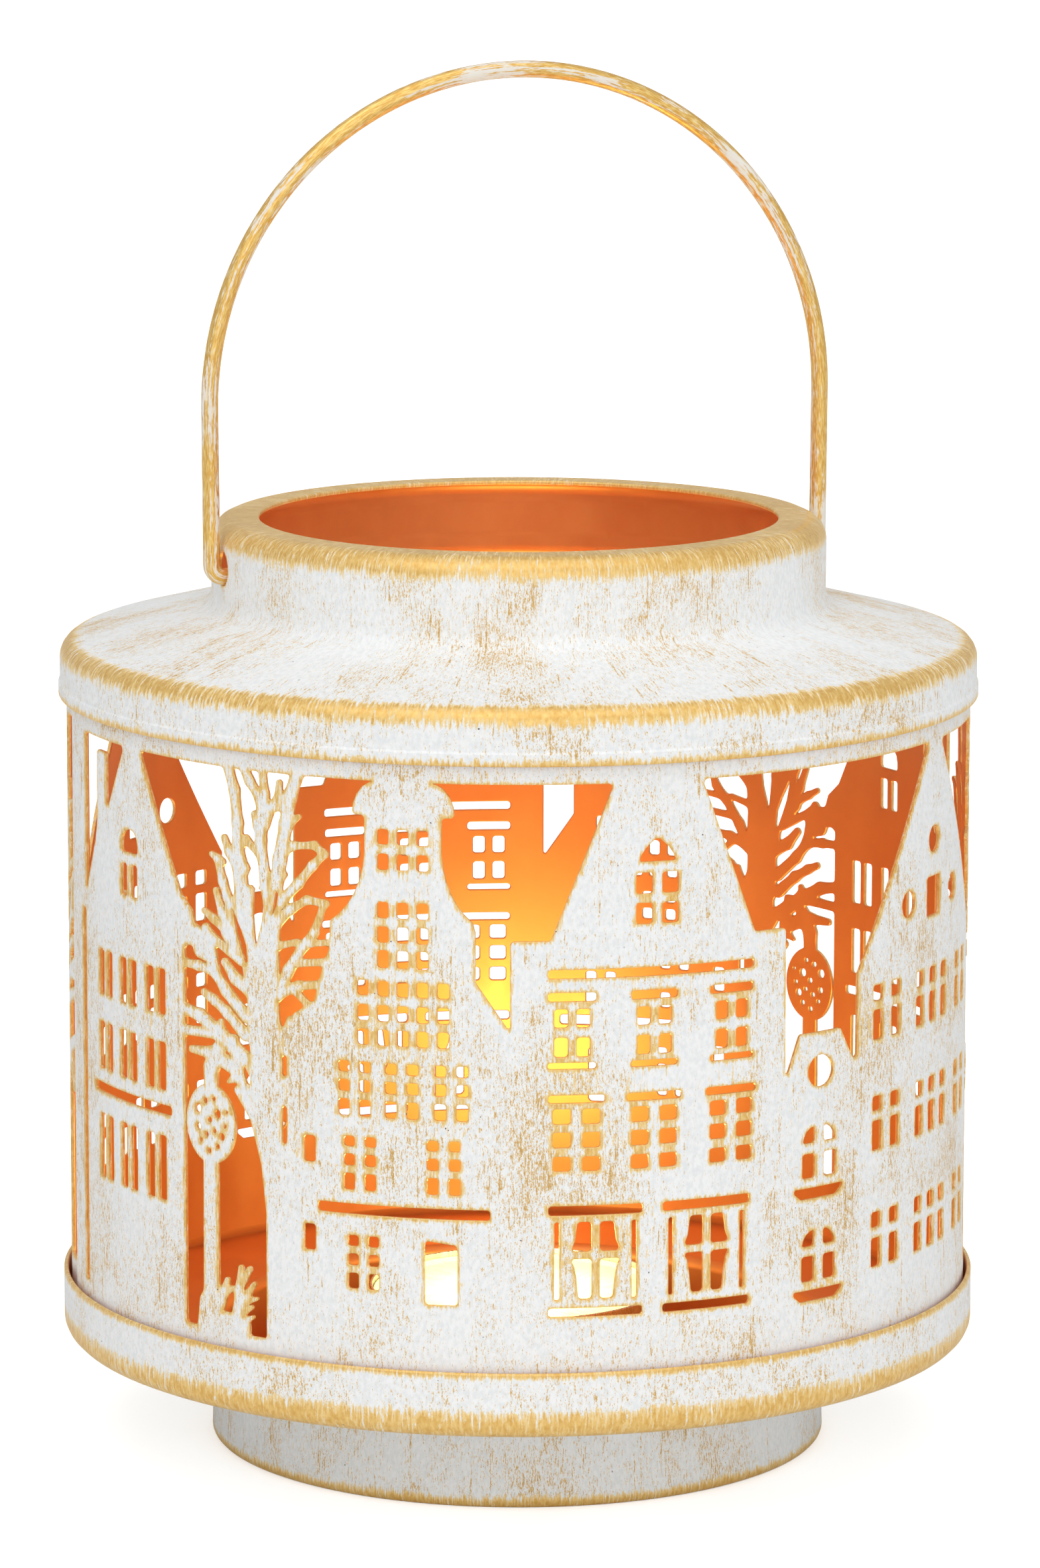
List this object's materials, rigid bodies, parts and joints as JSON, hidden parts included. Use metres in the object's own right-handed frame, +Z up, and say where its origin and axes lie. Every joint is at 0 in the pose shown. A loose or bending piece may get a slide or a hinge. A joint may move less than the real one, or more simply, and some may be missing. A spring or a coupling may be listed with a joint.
{
  "type": "tealight lantern",
  "caption": "Round sheet-metal lantern with a pierced street of gabled houses, a neck with a wire bail, a stepped base and a tealight.",
  "frame": {"origin": "centre of the foot's underside", "axes": "+Z up along the lantern's axis, -Y towards the front of the street pattern; the bail's pivot line lies 18 degrees round from +X"},
  "size_m": [0.1166, 0.1166, 0.1761],
  "materials": {
    "painted_sheet": "dry-brushed white over gold",
    "painted_wire": "gold with worn white paint",
    "aluminium": "bright",
    "wax": "smooth",
    "cotton": "waxed"
  },
  "bodies": {
    "lantern": {"base_pan": "painted_sheet", "pierced_wall": "painted_sheet", "neck_lid": "painted_sheet"},
    "bail": {"wire_bail": "painted_wire"},
    "tealight": {"tealight_cup": "aluminium", "tealight_wax": "wax", "wick": "cotton", "wick_tab": "aluminium"}
  },
  "joints": [
    {"name": "bail_swing", "type": "hinge", "parent": "lantern", "child": "bail", "pos_m": [0, 0, 0.11267], "axis": [0.9511, 0.309, 0], "range_deg": [-98, 98]},
    {"name": "tealight_lift", "type": "slide", "parent": "lantern", "child": "tealight", "axis": [0, 0, 1], "range_m": [0, 0.12]}
  ]
}
